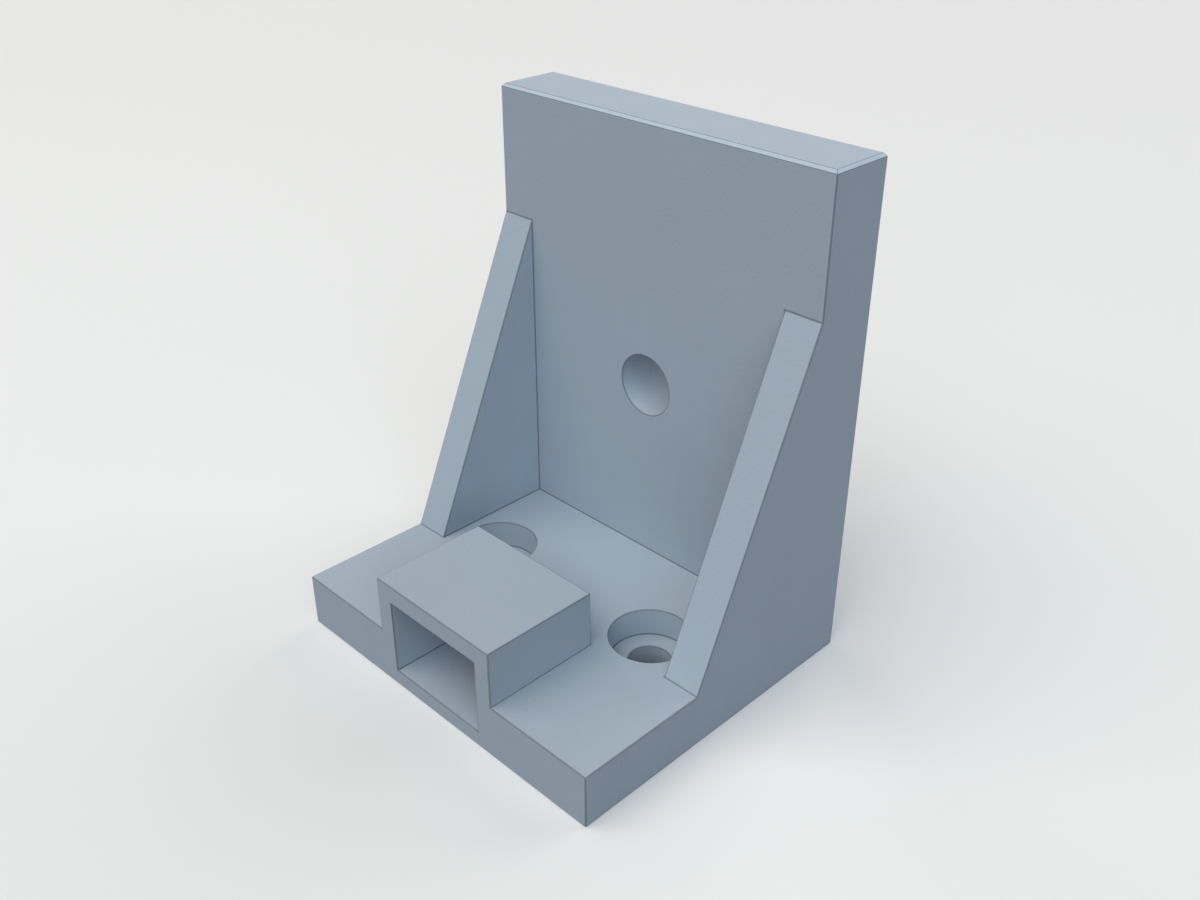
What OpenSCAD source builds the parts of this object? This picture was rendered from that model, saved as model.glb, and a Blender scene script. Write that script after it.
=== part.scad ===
// Bearing support bracket, in millimetres.
// An upright plate with a bolt hole stands at the back of a flat base, a gusset
// braces it at each side, and a hollow block stands at the middle of the front.
// The origin is the middle of the base's underside: +X is to the right, +Y is to
// the back and +Z is up. The real part is one piece, so it is one solid here.

/* [Base] */
// Width of the base and of the plate, from side to side
base_w = 40; // [39:0.5:60]
// Depth of the base, from front to back
base_d = 35; // [32:0.5:60]
// Thickness of the base
base_t = 5.7; // [5.2:0.1:12]

/* [Upright plate] */
// Height of the plate above the base
plate_h = 45; // [36:0.5:80]
// Thickness of the plate
plate_t = 7; // [3:0.5:12]
// Chamfer on the four edges at the top of the plate
top_chamfer = 0.3; // [0.1:0.1:1]

/* [Bearing hole] */
// Diameter of the hole for the bearing's bolt
bearing_hole_d = 6.3; // [4:0.1:16]
// Height of the hole's centre above the base
bearing_hole_h = 19; // [12:0.5:28]

/* [Gussets] */
// Thickness of each gusset
gusset_t = 4; // [2:0.25:4.75]
// Height of each gusset above the base
gusset_h = 32; // [15:0.5:40]
// Distance from the front of the base to the toe of each gusset
gusset_setback = 14; // [4:0.5:22]

/* [Base screws] */
// Distance between the centres of the two screw holes
screw_spacing = 22; // [18:0.5:23.5]
// Diameter of each screw hole
screw_hole_d = 4.2; // [3:0.1:5.5]
// Diameter of the recess for each screw head
head_recess_d = 8; // [6.5:0.1:9.5]
// Depth of the recess for each screw head
head_recess_h = 3; // [1:0.1:4]

/* [Front block] */
// Depth of the block, from the front of the base
block_d = 12.5; // [6:0.5:13]
// Wall at the block's sides, back and top
block_wall = 2; // [1:0.1:2.5]
// Width of the pocket in the block
pocket_w = 12; // [6:0.5:13]
// Height of the pocket, from its floor to its roof
pocket_h = 8; // [5:0.5:16]
// Depth of the pocket's floor below the top of the base
pocket_sink = 4; // [1:0.1:4.5]

/* [Hidden] */
$fn = 96;

finish = [0.63, 0.68, 0.72];

// How far a cut runs past the face that it opens, and a joined shape into its neighbour
run_out = 1;

base_front_y = -base_d / 2;
base_back_y = base_d / 2;
plate_front_y = base_back_y - plate_t;
plate_top_z = base_t + plate_h;
gusset_toe_y = base_front_y + gusset_setback;
gusset_top_z = base_t + gusset_h;
bearing_hole_z = base_t + bearing_hole_h;
pocket_floor_z = base_t - pocket_sink;
pocket_d = block_d - block_wall;
block_w = pocket_w + 2 * block_wall;
block_top_z = pocket_floor_z + pocket_h + block_wall;

// Extrudes an outline drawn in Y and Z along X, with the middle of its width at x = 0
module across(width) {
    rotate([90, 0, 90])
        linear_extrude(height = width, center = true)
            children();
}

// Extrudes an outline drawn in X and Z along Y, from front_y to back_y
module front_to_back(front_y, back_y) {
    translate([0, back_y, 0])
        rotate([90, 0, 0])
            linear_extrude(height = back_y - front_y)
                children();
}

// Outline of a wall from low to high with both of its top corners chamfered
module chamfered_wall(low, high, bottom, top) {
    polygon([
        [low, bottom],
        [high, bottom],
        [high, top - top_chamfer],
        [high - top_chamfer, top],
        [low + top_chamfer, top],
        [low, top - top_chamfer],
    ]);
}

// A box that is centred from side to side, and runs from front_y and bottom
module centred_box(width, depth, height, front_y, bottom) {
    translate([-width / 2, front_y, bottom])
        cube([width, depth, height]);
}

module base() {
    centred_box(base_w, base_d, base_t, base_front_y, 0);
}

// The upright plate: where its front view and its side view meet, each with
// chamfered corners, so that the chamfer runs round all four top edges
module plate() {
    intersection() {
        front_to_back(plate_front_y, base_back_y)
            chamfered_wall(-base_w / 2, base_w / 2, 0, plate_top_z);
        across(base_w)
            chamfered_wall(plate_front_y, base_back_y, 0, plate_top_z);
    }
}

// One gusset, in the middle of the width: a wedge whose slope runs from its toe
// on the base to its top on the front of the plate. It goes on into both.
module gusset() {
    across(gusset_t)
        polygon([
            [gusset_toe_y, base_t],
            [plate_front_y, gusset_top_z],
            [plate_front_y + run_out, gusset_top_z],
            [plate_front_y + run_out, base_t - run_out],
            [gusset_toe_y, base_t - run_out],
        ]);
}

module gussets() {
    for (side = [-1, 1])
        translate([side * (base_w - gusset_t) / 2, 0, 0])
            gusset();
}

module block() {
    centred_box(block_w, block_d, block_top_z, base_front_y, 0);
}

// The pocket opens in the front face and ends in front of the block's back wall
module pocket_cut() {
    centred_box(pocket_w, pocket_d + run_out, pocket_h,
                base_front_y - run_out, pocket_floor_z);
}

module bearing_hole_cut() {
    translate([0, plate_front_y - run_out, bearing_hole_z])
        rotate([-90, 0, 0])
            cylinder(d = bearing_hole_d, h = plate_t + 2 * run_out);
}

// One screw hole through the base, with its round recess for the head on top
module screw_cut() {
    translate([0, 0, -run_out])
        cylinder(d = screw_hole_d, h = base_t + run_out);
    translate([0, 0, base_t - head_recess_h])
        cylinder(d = head_recess_d, h = head_recess_h + run_out);
}

module screw_cuts() {
    for (side = [-1, 1])
        translate([side * screw_spacing / 2, 0, 0])
            screw_cut();
}

module bracket() {
    color(finish)
        difference() {
            union() {
                base();
                plate();
                gussets();
                block();
            }
            pocket_cut();
            bearing_hole_cut();
            screw_cuts();
        }
}

bracket();
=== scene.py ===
"""Looks of a bearing support bracket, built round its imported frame.

The real part is one moulded piece, so it is one object here. Each of its forms is a class that
holds its own sizes: the base, the upright plate with its bolt hole, the front block with its
pocket, the pair of gussets, and the two recessed screw holes. Bracket joins and cuts them,
EdgeBreak rounds every edge, MouldedPlastic is the finish, and Studio and Viewpoint show it.

Lengths are in metres in the frame's axes: +X to the right, +Y to the back and +Z up.
"""

import logging
import math
from dataclasses import dataclass, field
from enum import Enum
from typing import Any

import bmesh
import bpy
from bmesh.types import BMEdge, BMesh, BMVert
from bpy.types import Material, Mesh, Node, NodeSocket, NodeTree, Object
from mathutils import Euler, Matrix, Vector

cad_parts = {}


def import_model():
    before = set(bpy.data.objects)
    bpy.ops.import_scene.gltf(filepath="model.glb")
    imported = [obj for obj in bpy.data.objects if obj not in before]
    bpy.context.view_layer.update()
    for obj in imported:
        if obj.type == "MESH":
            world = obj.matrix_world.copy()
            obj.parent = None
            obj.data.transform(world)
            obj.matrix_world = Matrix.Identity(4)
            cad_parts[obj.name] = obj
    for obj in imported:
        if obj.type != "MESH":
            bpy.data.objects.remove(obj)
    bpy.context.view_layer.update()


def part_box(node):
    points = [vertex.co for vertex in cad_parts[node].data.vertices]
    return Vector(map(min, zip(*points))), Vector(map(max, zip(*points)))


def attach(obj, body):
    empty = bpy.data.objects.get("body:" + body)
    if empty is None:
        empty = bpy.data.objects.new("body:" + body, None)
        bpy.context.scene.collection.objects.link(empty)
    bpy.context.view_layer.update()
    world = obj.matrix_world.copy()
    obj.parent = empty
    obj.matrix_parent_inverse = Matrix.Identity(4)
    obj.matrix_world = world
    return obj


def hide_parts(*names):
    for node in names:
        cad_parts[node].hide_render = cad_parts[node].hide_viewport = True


LOG = logging.getLogger("bracket")

MM = 0.001
# How far a cut runs past the face that it opens, and a joined shape into its neighbour
RUN_OUT = 1 * MM
# Corners that lie closer than this are one corner
SAME_PLACE = 0.001 * MM
# Faces that meet at less than this angle are parts of one flat face
SAME_PLANE = math.radians(0.5)

CAD_NODE = "bracket"
CAD_BODY = "root"

# The solver that keeps faces clean where two solids lie flush
SOLVER = "EXACT"
WHITE = (1.0, 1.0, 1.0, 1.0)

Point = tuple[float, float, float]
Tone = tuple[float, float, float]
Number = NodeSocket | float


class SocketKind(Enum):
    """The kinds of input that the form trees take, with Blender's name for each."""

    GEOMETRY = "NodeSocketGeometry"
    LENGTH = "NodeSocketFloat"
    COUNT = "NodeSocketInt"
    MATERIAL = "NodeSocketMaterial"


class Change(Enum):
    """How a second solid changes the piece, with Blender's name for each way."""

    JOIN = "UNION"
    CUT = "DIFFERENCE"


class EdgeKind(Enum):
    """What an edge of the finished form is, by the angle between its two faces."""

    FLAT = "flat"
    CHAMFER = "chamfer"
    OUTER = "outer"
    INNER = "inner"


class FaceMark(Enum):
    """The mesh attributes that tell the finish what a face is.

    ROUNDED is 1 on a rounded outer edge and -1 in a rounded inner corner. CHAMFER is 1 on the
    flat faces of a chamfer. Both are 0 elsewhere.
    """

    ROUNDED = "rounded"
    CHAMFER = "chamfer"


class Graph:
    """A node tree with short calls for adding and joining its nodes."""

    def __init__(self, tree: NodeTree) -> None:
        """Starts on a geometry or shader node tree."""
        self.tree = tree

    def add(self, kind: str, label: str = "", **settings: Any) -> Node:
        """Adds a node.

        Args:
            kind: the node's type, as Blender names it.
            label: what the node is for, shown on it.
            settings: properties to set on the node itself.

        Returns:
            The new node.
        """
        node = self.tree.nodes.new(kind)
        node.label = label
        for name, value in settings.items():
            setattr(node, name, value)
        return node

    def give(self, target: NodeSocket, value: Any) -> None:
        """Sets an input, or links it to an output.

        Args:
            target: the input.
            value: an output to link from, or a plain value to set.
        """
        if isinstance(value, NodeSocket):
            self.tree.links.new(value, target)
        else:
            target.default_value = value

    def feed(self, node: Node, **inputs: Any) -> Node:
        """Gives a node its inputs by their names, with an underscore for each space.

        Args:
            node: the node whose inputs are meant.
            inputs: an output to link from, or a plain value to set, for each named input.

        Returns:
            The same node.
        """
        for name, value in inputs.items():
            self.give(node.inputs[name.replace("_", " ")], value)
        return node

    def math(self, operation: str, *values: Number) -> NodeSocket:
        """Adds a sum.

        Args:
            operation: the sum, as the Math node names it.
            values: a socket or a number for each of its inputs, in order.

        Returns:
            The result's socket.
        """
        node = self.add("ShaderNodeMath", operation=operation)
        for target, value in zip(node.inputs, values):
            self.give(target, value)
        return node.outputs["Value"]

    def point(self, x: Number = 0.0, y: Number = 0.0, z: Number = 0.0) -> NodeSocket:
        """Adds a point or a direction made of three values."""
        return self.feed(self.add("ShaderNodeCombineXYZ"), X=x, Y=y, Z=z).outputs["Vector"]


class FormTree(Graph):
    """A geometry node tree that changes the bracket's form and has named inputs for its sizes."""

    def __init__(self, name: str, sizes: dict[str, float | int]) -> None:
        """Makes the tree with its inputs and its output.

        Args:
            name: the tree's name.
            sizes: each named input with its value, a whole number for a count.
        """
        super().__init__(bpy.data.node_groups.new(name, "GeometryNodeTree"))
        self.sizes = sizes
        kinds = {"Geometry": SocketKind.GEOMETRY}
        for label, value in sizes.items():
            kinds[label] = SocketKind.COUNT if isinstance(value, int) else SocketKind.LENGTH
        kinds["Material"] = SocketKind.MATERIAL
        interface = self.tree.interface
        self.sockets = {
            label: interface.new_socket(label, in_out="INPUT", socket_type=kind.value)
            for label, kind in kinds.items()
        }
        interface.new_socket("Geometry", in_out="OUTPUT", socket_type=SocketKind.GEOMETRY.value)
        self.given = self.add("NodeGroupInput").outputs

    def on_pair(self, copy: NodeSocket, spacing: NodeSocket) -> NodeSocket:
        """Sets a copy of a shape at each side of the middle plane.

        Args:
            copy: the shape, in its place along Y and Z.
            spacing: the distance between the two copies' middles.

        Returns:
            The socket of the two copies.
        """
        row = self.feed(
            self.add("GeometryNodeMeshLine", "one point a side"),
            Count=2,
            Start_Location=self.point(x=self.math("MULTIPLY", spacing, -0.5)),
            Offset=self.point(x=spacing),
        )
        placed = self.feed(
            self.add("GeometryNodeInstanceOnPoints"), Points=row.outputs["Mesh"], Instance=copy
        )
        return placed.outputs["Instances"]

    def finish(self, result: NodeSocket) -> None:
        """Ends the tree: the copies become real and take the material.

        Args:
            result: the finished geometry.
        """
        real = self.feed(self.add("GeometryNodeRealizeInstances"), Geometry=result)
        dressed = self.feed(
            self.add("GeometryNodeSetMaterial"),
            Geometry=real.outputs["Geometry"], Material=self.given["Material"],
        )
        self.feed(self.add("NodeGroupOutput"), Geometry=dressed.outputs["Geometry"])

    def apply_to(self, piece: Object, material: Material) -> None:
        """Runs the tree on a piece and keeps the plain mesh that it makes.

        Args:
            piece: the object to change.
            material: the finish that the result takes.
        """
        modifier = piece.modifiers.new(self.tree.name, "NODES")
        modifier.node_group = self.tree
        for label, value in self.sizes.items():
            modifier[self.sockets[label].identifier] = value
        modifier[self.sockets["Material"].identifier] = material
        bake(piece)


def bake(piece: Object) -> None:
    """Turns what an object's modifiers make into its own plain mesh.

    Args:
        piece: the object, whose modifiers are removed.
    """
    graph = bpy.context.evaluated_depsgraph_get()
    mesh = bpy.data.meshes.new_from_object(
        piece.evaluated_get(graph), preserve_all_data_layers=True, depsgraph=graph
    )
    piece.modifiers.clear()
    piece.data = mesh


def new_piece(name: str, form: BMesh) -> Object:
    """Makes an object of a finished form.

    Args:
        name: the object's name.
        form: its shape, which is freed.

    Returns:
        The object, in the scene.
    """
    mesh = bpy.data.meshes.new(name)
    form.to_mesh(mesh)
    form.free()
    piece = bpy.data.objects.new(name, mesh)
    bpy.context.scene.collection.objects.link(piece)
    return piece


def slab(low: Point | Vector, high: Point | Vector) -> BMesh:
    """Makes a block with square corners.

    Args:
        low: its lowest corner.
        high: its highest corner.

    Returns:
        The block.
    """
    form = bmesh.new()
    bmesh.ops.create_cube(form, size=1)
    span = Vector(high) - Vector(low)
    bmesh.ops.scale(form, vec=span, verts=form.verts)
    bmesh.ops.translate(form, vec=Vector(low) + span / 2, verts=form.verts)
    return form


@dataclass(frozen=True)
class Envelope:
    """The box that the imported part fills. The forms take their outer faces from it.

    Attributes:
        low: its lowest corner.
        high: its highest corner.
    """

    low: Vector
    high: Vector

    @property
    def width(self) -> float:
        """Size from side to side."""
        return self.high.x - self.low.x

    @property
    def middle(self) -> Vector:
        """The point in the middle of the box."""
        return (self.low + self.high) / 2


@dataclass(frozen=True)
class Base:
    """The flat base.

    Attributes:
        envelope: the part's box, whose whole plan the base fills.
        thickness: from its underside to its top.
    """

    envelope: Envelope
    thickness: float = 5.7 * MM

    @property
    def top(self) -> float:
        """Height of the base's upper face."""
        return self.envelope.low.z + self.thickness

    def solid(self) -> Object:
        """Builds the base as a slab."""
        low, high = self.envelope.low, self.envelope.high
        return new_piece("base", slab(low, (high.x, high.y, self.top)))


@dataclass(frozen=True)
class UprightPlate:
    """The plate that stands at the back and carries the bearing.

    Attributes:
        envelope: the part's box, whose back and top the plate fills.
        thickness: from its front to its back.
        top_chamfer: chamfer on the four edges at its top.
        hole_diameter: of the bolt hole for the bearing.
        hole_height: height of the hole's middle above the underside.
        facets: number of flats round the hole.
    """

    envelope: Envelope
    thickness: float = 7 * MM
    top_chamfer: float = 0.3 * MM
    hole_diameter: float = 6.3 * MM
    hole_height: float = 24.7 * MM
    facets: int = 144

    @property
    def front(self) -> float:
        """The place of the plate's front face along Y."""
        return self.envelope.high.y - self.thickness

    def solid(self) -> Object:
        """Builds the plate down to the underside, with its chamfered top.

        Returns:
            The plate.
        """
        low, high = self.envelope.low, self.envelope.high
        form = slab((low.x, self.front, low.z), high)
        rim = [edge for edge in form.edges if all(self.at_top(corner) for corner in edge.verts)]
        bmesh.ops.bevel(form, geom=rim, offset=self.top_chamfer, segments=1, affect="EDGES")
        return new_piece("upright_plate", form)

    def at_top(self, corner: BMVert) -> bool:
        """Whether a corner lies at the top of the plate."""
        return abs(corner.co.z - self.envelope.high.z) < SAME_PLACE

    def hole(self) -> Object:
        """Builds the cutter of the bolt hole, which runs past both faces.

        Returns:
            The cutter.
        """
        form = bmesh.new()
        radius = self.hole_diameter / 2
        depth = self.thickness + 2 * RUN_OUT
        bmesh.ops.create_cone(
            form, cap_ends=True, segments=self.facets, radius1=radius, radius2=radius, depth=depth
        )
        along_y = Euler((math.radians(90), 0, 0)).to_matrix()
        bmesh.ops.rotate(form, cent=(0, 0, 0), matrix=along_y, verts=form.verts)
        middle = Vector((0, self.front + self.thickness / 2, self.hole_height))
        bmesh.ops.translate(form, vec=middle, verts=form.verts)
        return new_piece("bearing_hole", form)


@dataclass(frozen=True)
class FrontBlock:
    """The hollow block at the middle of the front.

    Attributes:
        base: the base that it stands on.
        depth: from the front of the base to the block's back.
        wall: at the sides, the back and the top of the pocket.
        pocket_width: inner width of the pocket.
        pocket_height: from the pocket's floor to its roof.
        pocket_sink: depth of the pocket's floor below the top of the base.
    """

    base: Base
    depth: float = 12.5 * MM
    wall: float = 2 * MM
    pocket_width: float = 12 * MM
    pocket_height: float = 8 * MM
    pocket_sink: float = 4 * MM

    @property
    def front(self) -> float:
        """The place of the block's front face along Y, flush with the base's."""
        return self.base.envelope.low.y

    @property
    def floor(self) -> float:
        """Height of the pocket's floor."""
        return self.base.top - self.pocket_sink

    @property
    def roof(self) -> float:
        """Height of the pocket's roof."""
        return self.floor + self.pocket_height

    def solid(self) -> Object:
        """Builds the block down to the underside.

        Returns:
            The block.
        """
        half = self.pocket_width / 2 + self.wall
        low = (-half, self.front, self.base.envelope.low.z)
        high = (half, self.front + self.depth, self.roof + self.wall)
        return new_piece("front_block", slab(low, high))

    def pocket(self) -> Object:
        """Builds the cutter of the pocket, which runs out of the block's front.

        Returns:
            The cutter.
        """
        half = self.pocket_width / 2
        low = (-half, self.front - RUN_OUT, self.floor)
        high = (half, self.front + self.depth - self.wall, self.roof)
        return new_piece("pocket", slab(low, high))


@dataclass(frozen=True)
class GussetPair:
    """The two wedges that brace the plate, one flush with each side of the base.

    Attributes:
        base: the base that they stand on.
        plate: the plate that they brace.
        thickness: of each gusset.
        rise: height of each gusset above the base.
        setback: distance from the front of the base to each gusset's toe.
    """

    base: Base
    plate: UprightPlate
    thickness: float = 4 * MM
    rise: float = 32 * MM
    setback: float = 14 * MM

    def tree(self) -> FormTree:
        """Builds the tree that makes one gusset, sets a copy at each side and joins them on.

        Returns:
            The tree.
        """
        toe = self.base.envelope.low.y + self.setback
        tree = FormTree("Gusset pair", {
            "Thickness": self.thickness,
            "Rise": self.rise,
            "Run": self.plate.front - toe,
            "Seat Height": self.base.top,
            "Plate Front": self.plate.front,
            "Spacing": self.base.envelope.width - self.thickness,
            "Overlap": RUN_OUT,
        })
        pair = tree.on_pair(self.wedge(tree), tree.given["Spacing"])
        joined = tree.add("GeometryNodeMeshBoolean", operation=Change.JOIN.value, solver=SOLVER)
        for solid in (tree.given["Geometry"], pair):
            tree.give(joined.inputs["Mesh 2"], solid)
        tree.finish(joined.outputs["Mesh"])
        return tree

    def wedge(self, tree: FormTree) -> NodeSocket:
        """Sweeps the outline across the thickness, with its middle at x = 0.

        Args:
            tree: the tree to add to.

        Returns:
            The socket of one gusset.
        """
        across = tree.feed(
            tree.add("GeometryNodeCurvePrimitiveLine", "across the thickness"),
            Start=tree.point(x=tree.math("MULTIPLY", tree.given["Thickness"], -0.5)),
            End=tree.point(x=tree.math("MULTIPLY", tree.given["Thickness"], 0.5)),
        )
        upright = tree.feed(
            tree.add("GeometryNodeSetCurveNormal", "outline's X points to the back", mode="FREE"),
            Curve=across.outputs["Curve"], Normal=(0.0, 1.0, 0.0),
        )
        swept = tree.feed(
            tree.add("GeometryNodeCurveToMesh"),
            Curve=upright.outputs["Curve"], Profile_Curve=self.outline(tree), Fill_Caps=True,
        )
        return swept.outputs["Mesh"]

    @staticmethod
    def outline(tree: FormTree) -> NodeSocket:
        """Draws a gusset's outline, which goes on into the base and the plate.

        Args:
            tree: the tree to add to.

        Returns:
            The socket of the outline.
        """
        given = tree.given
        front, overlap = given["Plate Front"], given["Overlap"]
        top = tree.math("ADD", given["Seat Height"], given["Rise"])
        bottom = tree.math("SUBTRACT", given["Seat Height"], overlap)
        inside = tree.math("ADD", front, overlap)
        # The slope goes on below the base's top, so that it still meets that face at the toe
        run_on = tree.math("MULTIPLY", overlap, tree.math("DIVIDE", given["Run"], given["Rise"]))
        toe = tree.math("SUBTRACT", front, given["Run"])
        corners = tree.feed(
            tree.add("GeometryNodeCurvePrimitiveQuadrilateral", "outline in Y and Z", mode="POINTS"),
            Point_1=tree.point(tree.math("SUBTRACT", toe, run_on), bottom),
            Point_2=tree.point(inside, bottom),
            Point_3=tree.point(inside, top),
            Point_4=tree.point(front, top),
        )
        return corners.outputs["Curve"]


@dataclass(frozen=True)
class ScrewSeats:
    """The two screw holes through the base, each with a round recess for the head.

    Attributes:
        base: the base that they go through.
        spacing: distance between the holes' middles.
        hole_diameter: of each screw hole.
        recess_diameter: of each recess.
        recess_depth: of each recess, from the top of the base.
        facets: number of flats round each hole and recess.
    """

    base: Base
    spacing: float = 22 * MM
    hole_diameter: float = 4.2 * MM
    recess_diameter: float = 8 * MM
    recess_depth: float = 3 * MM
    facets: int = 144

    def tree(self) -> FormTree:
        """Builds the tree that cuts a stepped hole at each side.

        Returns:
            The tree.
        """
        tree = FormTree("Screw seats", {
            "Hole Diameter": self.hole_diameter,
            "Recess Diameter": self.recess_diameter,
            "Recess Depth": self.recess_depth,
            "Base Thickness": self.base.thickness,
            "Spacing": self.spacing,
            "Overlap": RUN_OUT,
            "Facets": self.facets,
        })
        given = tree.given
        under = tree.math("MULTIPLY", given["Overlap"], -1.0)
        seat = tree.math("SUBTRACT", given["Base Thickness"], given["Recess Depth"])
        cut = tree.add("GeometryNodeMeshBoolean", operation=Change.CUT.value, solver=SOLVER)
        tree.give(cut.inputs["Mesh 1"], given["Geometry"])
        for diameter, bottom in ((given["Hole Diameter"], under), (given["Recess Diameter"], seat)):
            drills = tree.on_pair(self.drill(tree, diameter, bottom), given["Spacing"])
            tree.give(cut.inputs["Mesh 2"], drills)
        tree.finish(cut.outputs["Mesh"])
        return tree

    @staticmethod
    def drill(tree: FormTree, diameter: NodeSocket, bottom: NodeSocket) -> NodeSocket:
        """Adds a round cutter that runs out of the top of the base, with its axis at x = 0.

        Args:
            tree: the tree to add to.
            diameter: of the cutter.
            bottom: height of the cutter's lower end.

        Returns:
            The socket of the cutter.
        """
        top = tree.math("ADD", tree.given["Base Thickness"], tree.given["Overlap"])
        cylinder = tree.feed(
            tree.add("GeometryNodeMeshCylinder"),
            Vertices=tree.given["Facets"],
            Radius=tree.math("MULTIPLY", diameter, 0.5),
            Depth=tree.math("SUBTRACT", top, bottom),
        )
        middle = tree.math("MULTIPLY", tree.math("ADD", top, bottom), 0.5)
        placed = tree.feed(
            tree.add("GeometryNodeTransform"),
            Geometry=cylinder.outputs["Mesh"], Translation=tree.point(z=middle),
        )
        return placed.outputs["Geometry"]


@dataclass(frozen=True)
class EdgeBreak:
    """The slight rounding that a moulded edge has, and the marks that it leaves for the finish.

    Attributes:
        outer: width of the rounding on an outer edge.
        inner: its width in an inner corner.
        chamfer: its width on the edges of a chamfer.
        segments: number of steps across it.
        flat_angle: two faces that meet at less than this count as one curved face.
        chamfer_angle: an outer edge under this angle belongs to a chamfer.
        chamfer_lean: the largest part of a chamfer face's normal along any one axis.
        marking_slot: place of the material slot that holds the rounded faces for a moment.
    """

    outer: float = 0.12 * MM
    inner: float = 0.10 * MM
    chamfer: float = 0.04 * MM
    segments: int = 3
    flat_angle: float = math.radians(8)
    chamfer_angle: float = math.radians(70)
    chamfer_lean: float = 0.8
    marking_slot: int = 1

    @property
    def widths(self) -> dict[EdgeKind, float]:
        """Width of the rounding on each kind of edge.

        Returns:
            The widths, where 0 leaves an edge as it is.
        """
        return {
            EdgeKind.FLAT: 0.0,
            EdgeKind.CHAMFER: self.chamfer,
            EdgeKind.OUTER: self.outer,
            EdgeKind.INNER: self.inner,
        }

    def kind(self, edge: BMEdge) -> EdgeKind:
        """Sorts an edge by the angle between its faces.

        Args:
            edge: an edge of the finished form.

        Returns:
            Its kind.
        """
        angle = edge.calc_face_angle_signed(0.0)
        if abs(angle) < self.flat_angle:
            return EdgeKind.FLAT
        if angle < 0:
            return EdgeKind.INNER
        return EdgeKind.CHAMFER if angle < self.chamfer_angle else EdgeKind.OUTER

    def apply_to(self, piece: Object) -> None:
        """Rounds the edges of a piece, makes its shading even and marks the rounded strips.

        Args:
            piece: the object, with sharp edges and flat faces in as few parts as possible.
        """
        widest = max(self.widths.values())
        self.weigh(piece.data, widest)
        piece.data.materials.append(None)
        bevel = piece.modifiers.new("edge break", "BEVEL")
        bevel.limit_method = "WEIGHT"
        bevel.width = widest
        bevel.segments = self.segments
        bevel.use_clamp_overlap = False
        bevel.material = self.marking_slot
        bake(piece)
        self.mark(piece.data)
        piece.data.shade_smooth()
        even = piece.modifiers.new("even shading", "WEIGHTED_NORMAL")
        even.mode = "FACE_AREA"
        bake(piece)

    def weigh(self, mesh: Mesh, widest: float) -> None:
        """Writes each edge's share of the widest rounding, and marks the chamfer's faces.

        Args:
            mesh: the sharp mesh.
            widest: the width that a weight of 1 stands for.
        """
        form = bmesh.new()
        form.from_mesh(mesh)
        weight = form.edges.layers.float.new("bevel_weight_edge")
        chamfer = form.faces.layers.float.new(FaceMark.CHAMFER.value)
        for edge in form.edges:
            edge[weight] = self.widths[self.kind(edge)] / widest
        for face in form.faces:
            leans = max(abs(part) for part in face.normal) < self.chamfer_lean
            face[chamfer] = leans and any(self.kind(e) is EdgeKind.CHAMFER for e in face.edges)
        form.to_mesh(mesh)
        form.free()

    def mark(self, mesh: Mesh) -> None:
        """Marks the rounded faces, and takes the marking slot away.

        Args:
            mesh: the rounded mesh, whose rounded faces are in the marking slot.
        """
        form = bmesh.new()
        form.from_mesh(mesh)
        rounded = form.faces.layers.float.new(FaceMark.ROUNDED.value)
        chamfer = form.faces.layers.float[FaceMark.CHAMFER.value]
        for face in form.faces:
            if face.material_index == self.marking_slot:
                bend = sum(edge.calc_face_angle_signed(0.0) for edge in face.edges)
                face[rounded] = math.copysign(1.0, bend)
                face[chamfer] = 0.0
                face.material_index = 0
        form.to_mesh(mesh)
        form.free()
        mesh.materials.pop(index=self.marking_slot)


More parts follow.
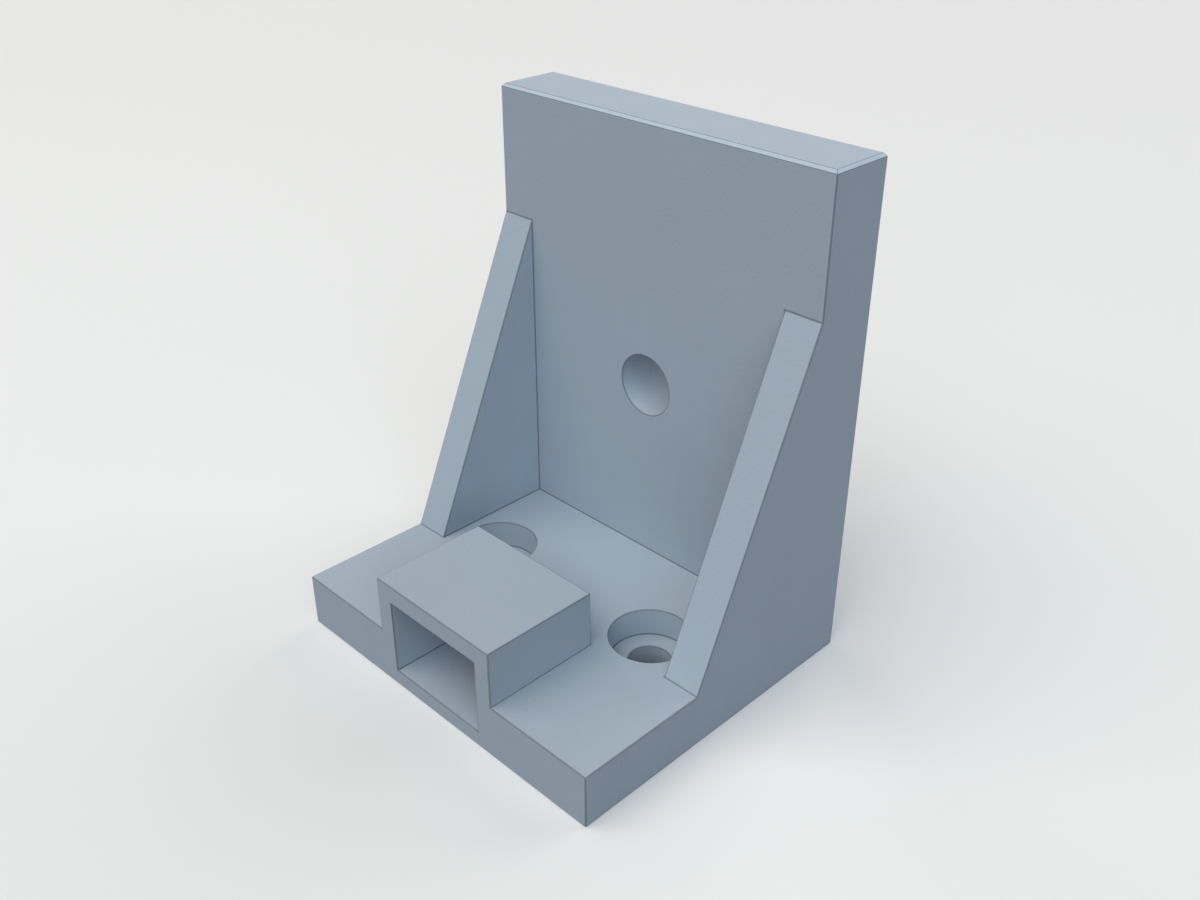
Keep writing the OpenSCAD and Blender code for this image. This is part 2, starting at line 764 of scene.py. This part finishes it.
@dataclass(frozen=True)
class MouldedPlastic:
    """A matte moulded plastic with a fine spark grain.

    Attributes:
        name: the material's name.
        pale: the lighter of its two close tones.
        deep: the darker of its two close tones.
        rubbed: share of the faces' tone that the rounded outer edges have.
        painted_corner_shade: share of it in the inner corners, a painted shade that darkens them.
        painted_chamfer_highlight: share of it on the chamfer, a painted highlight that lightens it.
        patch: size of the patches of tone.
        patch_detail: how many finer layers the patches have.
        grain: size of the spark grain.
        grain_detail: how many finer layers the grain has.
        grain_depth: height of the grain.
        roughness: of the faces, from its lowest to its highest.
        edge_roughness: of the outer edges, where the grain is at its smoothest.
        shine: strength of the surface's reflection, where 0.5 is a plain plastic.
    """

    name: str = "moulded_plastic"
    pale: Tone = (0.372, 0.436, 0.508)
    deep: Tone = (0.352, 0.412, 0.482)
    rubbed: float = 0.52
    # Painted shade: the inner corners are drawn darker than the faces
    painted_corner_shade: float = 0.42
    # Painted highlight: the chamfer is drawn lighter than the faces
    painted_chamfer_highlight: float = 1.24
    patch: float = 6 * MM
    patch_detail: float = 3.0
    grain: float = 0.35 * MM
    grain_detail: float = 2.0
    grain_depth: float = 0.03 * MM
    roughness: tuple[float, float] = (0.58, 0.68)
    edge_roughness: float = 0.50
    shine: float = 0.30

    def material(self) -> Material:
        """Builds the material.

        Returns:
            The material, ready for a piece.
        """
        material = bpy.data.materials.new(self.name)
        material.use_nodes = True
        material.node_tree.nodes.clear()
        graph = Graph(material.node_tree)
        place = graph.add("ShaderNodeTexCoord").outputs["Object"]
        grain = self.noise(graph, place, self.grain, self.grain_detail)
        rounded = self.marked(graph, FaceMark.ROUNDED)
        outer = graph.math("MAXIMUM", rounded, 0.0)
        inner = graph.math("MAXIMUM", graph.math("MULTIPLY", rounded, -1.0), 0.0)
        bump = graph.feed(
            graph.add("ShaderNodeBump"), Strength=1.0, Distance=self.grain_depth, Height=grain
        )
        shader = graph.feed(
            graph.add("ShaderNodeBsdfPrincipled"),
            Base_Color=self.tone(graph, place, outer, inner),
            Roughness=self.roughened(graph, grain, outer),
            Normal=bump.outputs["Normal"],
            Specular_IOR_Level=self.shine,
        )
        graph.feed(graph.add("ShaderNodeOutputMaterial"), Surface=shader.outputs["BSDF"])
        return material

    def tone(self, graph: Graph, place: NodeSocket, outer: NodeSocket, inner: NodeSocket) -> NodeSocket:
        """Adds the colour: two close tones in patches, darker on the outer edges, with painted shade in
        the inner corners and a painted highlight on the chamfer.

        Args:
            graph: the material's nodes.
            place: the coordinates that it reads.
            outer: 1 on the rounded outer edges.
            inner: 1 in the rounded inner corners, where shade is painted.

        Returns:
            The colour's socket.
        """
        patches = self.noise(graph, place, self.patch, self.patch_detail)
        share = graph.math("MULTIPLY_ADD", outer, self.rubbed - 1, 1.0)
        # Painted shade: the inner corners take a darker share of the tone
        share = graph.math("MULTIPLY_ADD", inner, self.painted_corner_shade - 1, share)
        # Painted highlight: the chamfer takes a lighter share of the tone
        chamfer = self.marked(graph, FaceMark.CHAMFER)
        share = graph.math("MULTIPLY_ADD", chamfer, self.painted_chamfer_highlight - 1, share)
        scaled = graph.feed(
            graph.add("ShaderNodeVectorMath", operation="SCALE"),
            Vector=self.blend(graph, patches, self.deep, self.pale), Scale=share,
        )
        return scaled.outputs["Vector"]

    def roughened(self, graph: Graph, grain: NodeSocket, outer: NodeSocket) -> NodeSocket:
        """Adds the roughness, which follows the grain and is lower on the outer edges.

        Args:
            graph: the material's nodes.
            grain: the grain's height, from 0 to 1.
            outer: 1 on the rounded outer edges.

        Returns:
            The roughness's socket.
        """
        low, high = self.roughness
        faces = graph.feed(graph.add("ShaderNodeMapRange"), Value=grain, To_Min=low, To_Max=high)
        smoothed = graph.math("MULTIPLY", outer, low - self.edge_roughness)
        return graph.math("SUBTRACT", faces.outputs["Result"], smoothed)

    @staticmethod
    def marked(graph: Graph, mark: FaceMark) -> NodeSocket:
        """Reads one of the marks that the form leaves on its faces."""
        return graph.add("ShaderNodeAttribute", attribute_name=mark.value).outputs["Fac"]

    @staticmethod
    def noise(graph: Graph, place: NodeSocket, size: float, detail: float) -> NodeSocket:
        """Adds a noise of about a half all over, whose features have the given size."""
        node = graph.add("ShaderNodeTexNoise", noise_dimensions="3D")
        return graph.feed(node, Vector=place, Scale=1 / size, Detail=detail).outputs["Fac"]

    @staticmethod
    def blend(graph: Graph, share: NodeSocket, first: Tone, second: Tone) -> NodeSocket:
        """Adds a mix of two colours.

        Args:
            graph: the material's nodes.
            share: 0 for all of the first, 1 for all of the second.
            first: a colour.
            second: a colour.

        Returns:
            The mixed colour's socket.
        """
        node = graph.add("ShaderNodeMix", data_type="RGBA")
        inputs = {socket.identifier: socket for socket in node.inputs}
        graph.give(inputs["Factor_Float"], share)
        graph.give(inputs["A_Color"], (*first, 1.0))
        graph.give(inputs["B_Color"], (*second, 1.0))
        return next(s for s in node.outputs if s.identifier == "Result_Color")


@dataclass(frozen=True)
class Bracket:
    """The whole bracket: it joins the forms, cuts the hollows and dresses the result.

    Attributes:
        base: the flat base.
        plate: the upright plate with its bolt hole.
        block: the front block with its pocket.
        gussets: the pair of gussets.
        screw_seats: the two recessed screw holes.
        edges: the rounding of its edges.
        finish: the material all over it.
        name: the finished object's name.
    """

    base: Base
    plate: UprightPlate
    block: FrontBlock
    gussets: GussetPair
    screw_seats: ScrewSeats
    edges: EdgeBreak = field(default_factory=EdgeBreak)
    finish: MouldedPlastic = field(default_factory=MouldedPlastic)
    name: str = "moulded_bracket"

    @classmethod
    def within(cls, envelope: Envelope) -> "Bracket":
        """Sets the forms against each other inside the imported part's box.

        Args:
            envelope: the box.

        Returns:
            The bracket, not built yet.
        """
        base = Base(envelope)
        plate = UprightPlate(envelope)
        return cls(base, plate, FrontBlock(base), GussetPair(base, plate), ScrewSeats(base))

    def build(self) -> Object:
        """Builds the bracket as one closed mesh with its finish.

        Returns:
            The bracket's object.
        """
        material = self.finish.material()
        piece = self.base.solid()
        piece.name = self.name
        piece.data.materials.append(material)
        self.combine(piece, self.plate.solid(), Change.JOIN)
        self.combine(piece, self.block.solid(), Change.JOIN)
        self.gussets.tree().apply_to(piece, material)
        self.combine(piece, self.block.pocket(), Change.CUT)
        self.combine(piece, self.plate.hole(), Change.CUT)
        self.screw_seats.tree().apply_to(piece, material)
        self.merge_flat_faces(piece.data)
        self.edges.apply_to(piece)
        return piece

    @staticmethod
    def combine(piece: Object, other: Object, change: Change) -> None:
        """Joins another solid to the piece or cuts it out of it, and removes that solid.

        Args:
            piece: the object to change.
            other: the other solid.
            change: whether it is joined on or cut out.
        """
        step = piece.modifiers.new(other.name, "BOOLEAN")
        step.operation = change.value
        step.solver = SOLVER
        step.object = other
        bake(piece)
        bpy.data.objects.remove(other)

    @staticmethod
    def merge_flat_faces(mesh: Mesh) -> None:
        """Merges doubled corners and the parts of one flat face, so that only true edges are left.

        Args:
            mesh: the joined and cut mesh.
        """
        form = bmesh.new()
        form.from_mesh(mesh)
        bmesh.ops.remove_doubles(form, verts=form.verts, dist=SAME_PLACE)
        bmesh.ops.dissolve_limit(form, angle_limit=SAME_PLANE, verts=form.verts, edges=form.edges)
        form.to_mesh(mesh)
        form.free()


@dataclass(frozen=True)
class Lamp:
    """A soft square lamp that faces the bracket.

    Attributes:
        name: the lamp's name.
        azimuth: where it stands, in degrees: 0 is in front of the bracket and 90 to its right.
        elevation: its height above the floor, in degrees.
        level: the share of its written colour at which it shows a surface that faces it.
        tint: colour of the light.
        distance: from the bracket.
        size: of the lamp's side.
    """

    name: str
    azimuth: float
    elevation: float
    level: float
    tint: Tone = (1.0, 1.0, 1.0)
    distance: float = 1.5
    size: float = 1.6

    @property
    def power(self) -> float:
        """Works out how strong the lamp has to be for its level.

        Returns:
            The watts.
        """
        half = self.size / 2
        reach = half / math.hypot(half, self.distance)
        # The part of its outlook that the lamp fills, for a surface that faces the lamp's middle
        filled = 4 / math.pi * reach * math.atan(reach)
        return self.level * math.pi * self.size ** 2 / filled

    def place(self, target: Vector) -> None:
        """Makes the lamp.

        Args:
            target: the point that it faces.
        """
        light = bpy.data.lights.new(self.name, "AREA")
        light.shape = "SQUARE"
        light.size = self.size
        light.color = self.tint
        light.energy = self.power
        lamp = bpy.data.objects.new(self.name, light)
        turn = Euler((math.radians(90 - self.elevation), 0, math.radians(self.azimuth)))
        lamp.rotation_euler = turn
        lamp.location = target + turn.to_matrix() @ Vector((0, 0, self.distance))
        bpy.context.scene.collection.objects.link(lamp)


@dataclass(frozen=True)
class Viewpoint:
    """The camera, which looks down on the bracket past its front right corner.

    Attributes:
        eye: where it stands.
        azimuth: the side it stands on, in degrees: 0 is in front and 90 to the right.
        elevation: how steeply it looks down, in degrees.
        field_of_view: from the bottom of the picture to its top, in degrees.
        aspect: the picture's width over its height.
        nearest: the closest distance that it shows.
    """

    eye: Point = (73.63 * MM, -69.42 * MM, 80.12 * MM)
    azimuth: float = 45.0
    elevation: float = 30.03
    field_of_view: float = 40.0
    aspect: float = 1200 / 900
    nearest: float = 1 * MM

    def place(self) -> None:
        """Makes the camera and gives it to the scene."""
        camera = bpy.data.cameras.new("camera")
        half_height = math.tan(math.radians(self.field_of_view) / 2)
        camera.angle = 2 * math.atan(half_height * self.aspect)
        camera.clip_start = self.nearest
        stand = bpy.data.objects.new("camera", camera)
        stand.location = self.eye
        stand.rotation_euler = (math.radians(90 - self.elevation), 0, math.radians(self.azimuth))
        bpy.context.scene.collection.objects.link(stand)
        bpy.context.scene.camera = stand


@dataclass(frozen=True)
class Studio:
    """A plain pale floor that fades into an even backdrop, and a few soft lamps.

    Attributes:
        floor_size: side of the floor.
        floor_tone: how pale the floor looks.
        floor_bounce: how pale the floor is for the light that it throws back on the bracket.
        backdrop: how pale the room looks.
        fade: distances from the bracket between which the floor turns into the backdrop.
        room_level: the share of its written colour at which the room's light shows a surface.
        lamps: the soft lamps.
    """

    floor_size: float = 20.0
    floor_tone: float = 0.80
    floor_bounce: float = 0.15
    backdrop: float = 0.82
    fade: tuple[float, float] = (0.2, 0.7)
    room_level: float = 0.04
    lamps: tuple[Lamp, ...] = (
        Lamp("key", azimuth=-30, elevation=60, level=0.59, tint=(1.03, 1.0, 0.92)),
        Lamp("fill", azimuth=46, elevation=34, level=0.48, tint=(0.88, 1.0, 1.12)),
        Lamp("back", azimuth=173, elevation=24, level=0.48),
        Lamp("side", azimuth=-100, elevation=15, level=0.15, size=1.0),
    )

    def build(self, target: Vector) -> None:
        """Sets up the floor, the room and the lamps.

        Args:
            target: the point that the lamps face.
        """
        bpy.context.scene.view_settings.view_transform = "Standard"
        self.lay_floor()
        self.light_room()
        for lamp in self.lamps:
            lamp.place(target)

    def lay_floor(self) -> None:
        """Lays the floor under the bracket."""
        form = bmesh.new()
        bmesh.ops.create_grid(form, x_segments=1, y_segments=1, size=self.floor_size / 2)
        floor = new_piece("floor", form)
        floor.data.materials.append(self.floor_material())

    def floor_material(self) -> Material:
        """Builds the floor's material. It looks pale, but throws little light back up.

        Returns:
            The material.
        """
        material = bpy.data.materials.new("floor")
        material.use_nodes = True
        material.node_tree.nodes.clear()
        graph = Graph(material.node_tree)
        seen = self.seen(graph)
        tone = graph.feed(
            graph.add("ShaderNodeMapRange"),
            Value=seen, To_Min=self.floor_bounce, To_Max=self.floor_tone,
        )
        surface = graph.feed(graph.add("ShaderNodeBsdfDiffuse"), Color=tone.outputs["Result"])
        glow = graph.feed(graph.add("ShaderNodeEmission"), Strength=self.backdrop, Color=WHITE)
        shader = self.choose(
            graph, graph.math("MULTIPLY", seen, self.faded(graph)),
            surface.outputs["BSDF"], glow.outputs["Emission"],
        )
        graph.feed(graph.add("ShaderNodeOutputMaterial"), Surface=shader)
        return material

    def faded(self, graph: Graph) -> NodeSocket:
        """Measures how far the floor has turned into the backdrop.

        Args:
            graph: the nodes of the floor's material.

        Returns:
            A socket that goes from 0 near the bracket to 1 far from it.
        """
        distance = graph.add("ShaderNodeVectorMath", operation="LENGTH")
        graph.give(distance.inputs[0], graph.add("ShaderNodeTexCoord").outputs["Object"])
        near, far = self.fade
        share = graph.feed(
            graph.add("ShaderNodeMapRange", interpolation_type="SMOOTHSTEP"),
            Value=distance.outputs["Value"], From_Min=near, From_Max=far,
        )
        return share.outputs["Result"]

    def light_room(self) -> None:
        """Lights the room evenly, and shows a pale backdrop in its place."""
        world = bpy.data.worlds.new("room")
        world.use_nodes = True
        world.node_tree.nodes.clear()
        bpy.context.scene.world = world
        graph = Graph(world.node_tree)
        light, pale = (
            graph.feed(graph.add("ShaderNodeBackground"), Strength=level, Color=WHITE)
            for level in (self.room_level, self.backdrop)
        )
        shader = self.choose(
            graph, self.seen(graph), light.outputs["Background"], pale.outputs["Background"]
        )
        graph.feed(graph.add("ShaderNodeOutputWorld"), Surface=shader)

    @staticmethod
    def seen(graph: Graph) -> NodeSocket:
        """Adds a test for what is seen directly, in a reflection or through something clear.

        Args:
            graph: the nodes of the floor's material or of the room.

        Returns:
            A socket that is 1 where it is seen and 0 where it only lights other things.
        """
        path = graph.add("ShaderNodeLightPath").outputs
        direct = graph.math("MAXIMUM", path["Is Camera Ray"], path["Is Glossy Ray"])
        return graph.math("MAXIMUM", direct, path["Is Transmission Ray"])

    @staticmethod
    def choose(graph: Graph, share: NodeSocket, first: NodeSocket, second: NodeSocket) -> NodeSocket:
        """Adds a mix of two shaders.

        Args:
            graph: the nodes of the floor's material or of the room.
            share: 0 for all of the first, 1 for all of the second.
            first: a shader's socket.
            second: a shader's socket.

        Returns:
            The mixed shader's socket.
        """
        node = graph.add("ShaderNodeMixShader")
        for target, source in zip(node.inputs, (share, first, second)):
            graph.give(target, source)
        return node.outputs["Shader"]


def main() -> None:
    """Builds the bracket round the frame, then the studio and the camera."""
    logging.basicConfig(level=logging.INFO, format="%(name)s: %(message)s")
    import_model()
    envelope = Envelope(*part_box(CAD_NODE))
    piece = Bracket.within(envelope).build()
    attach(piece, CAD_BODY)
    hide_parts(CAD_NODE)
    LOG.info("%s: %d faces", piece.name, len(piece.data.polygons))
    Studio().build(envelope.middle)
    Viewpoint().place()


if __name__ == "__main__":
    main()
